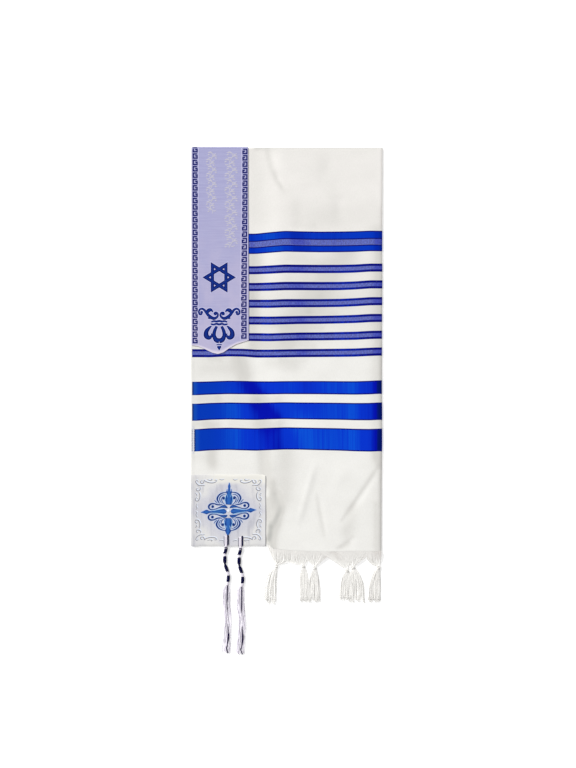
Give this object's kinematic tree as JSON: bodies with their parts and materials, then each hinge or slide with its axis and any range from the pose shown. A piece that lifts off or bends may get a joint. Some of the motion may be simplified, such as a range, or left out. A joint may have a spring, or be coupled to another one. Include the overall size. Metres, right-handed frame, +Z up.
{
  "type": "folded tallit prayer shawl",
  "caption": "Striped prayer shawl folded into a long flat rectangle, with an ornamented neckband, an embroidered corner patch, knotted fringe and wound corner threads.",
  "frame": {"origin": "on the surface that the folded shawl lies on, under the centre of its outline", "axes": "+Z up out of the folded cloth, +Y along the fold from the fringe towards the top fold, +X from the neckband side towards the lengthwise fold"},
  "size_m": [0.3764, 0.9886, 0.0078],
  "materials": {
    "shawl_cloth": "fine twill weave, off-white with blue stripes",
    "neckband_satin": "lavender woven satin with dark blue ornament",
    "patch_satin": "silver-white satin with blue embroidery",
    "fringe_yarn": "soft twisted yarn",
    "corner_thread": "plied thread, white and dark blue"
  },
  "bodies": {
    "root": {"shawl_front": "shawl_cloth", "shawl_layers": "shawl_cloth", "neckband": "neckband_satin", "corner_patch": "patch_satin", "tassel_1": "fringe_yarn", "tassel_2": "fringe_yarn", "tassel_3": "fringe_yarn", "tassel_4": "fringe_yarn", "tassel_5": "fringe_yarn", "tassel_6": "fringe_yarn", "tzitzit_left": "corner_thread", "tzitzit_right": "corner_thread"}
  },
  "joints": []
}
